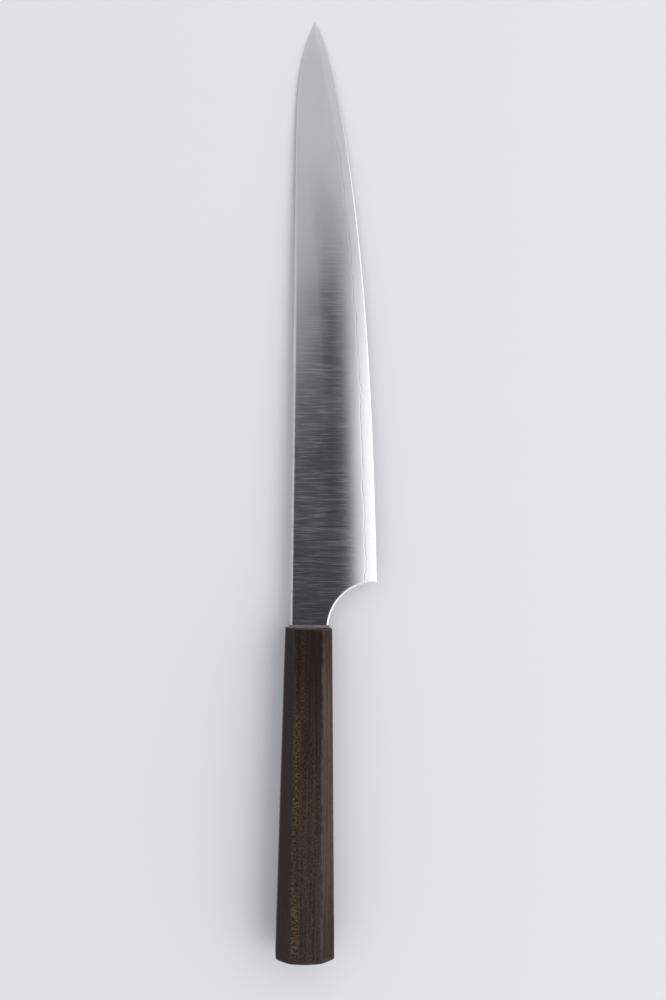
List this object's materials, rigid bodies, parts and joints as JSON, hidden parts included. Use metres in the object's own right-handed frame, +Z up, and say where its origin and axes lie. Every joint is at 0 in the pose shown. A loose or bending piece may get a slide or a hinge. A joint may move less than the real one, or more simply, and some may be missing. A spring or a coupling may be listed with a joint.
{
  "type": "sujihiki knife",
  "caption": "Long, slim slicing knife: laminated blade with a soft bevel and rounded choil, on a hidden tang in a tapering octagonal handle of dark wood.",
  "frame": {"origin": "middle of the knife's box, on the surface that it lies on", "axes": "+Y from the butt to the tip, +X from the spine to the cutting edge, +Z up; the knife lies on its left face, on the tip and the handle's front lower edge"},
  "size_m": [0.0414, 0.4008, 0.0236],
  "materials": {
    "core_steel": "bright, finely ground towards the edge",
    "cladding_steel": "satin, with fine lines across the blade",
    "tang_steel": "dull, unfinished",
    "dark_wood": "satin, open pores and short flecks",
    "dowel_wood": "plain, unfinished",
    "bedding": "set adhesive, dull",
    "bead": "smooth sealant, slightly glossy"
  },
  "bodies": {
    "root": {"core_steel": "core_steel", "cladding_right": "cladding_steel", "cladding_left": "cladding_steel", "tang": "tang_steel", "handle_body": "dark_wood", "tang_dowel": "dowel_wood", "tang_bedding": "bedding", "mouth_bead": "bead"}
  },
  "joints": []
}
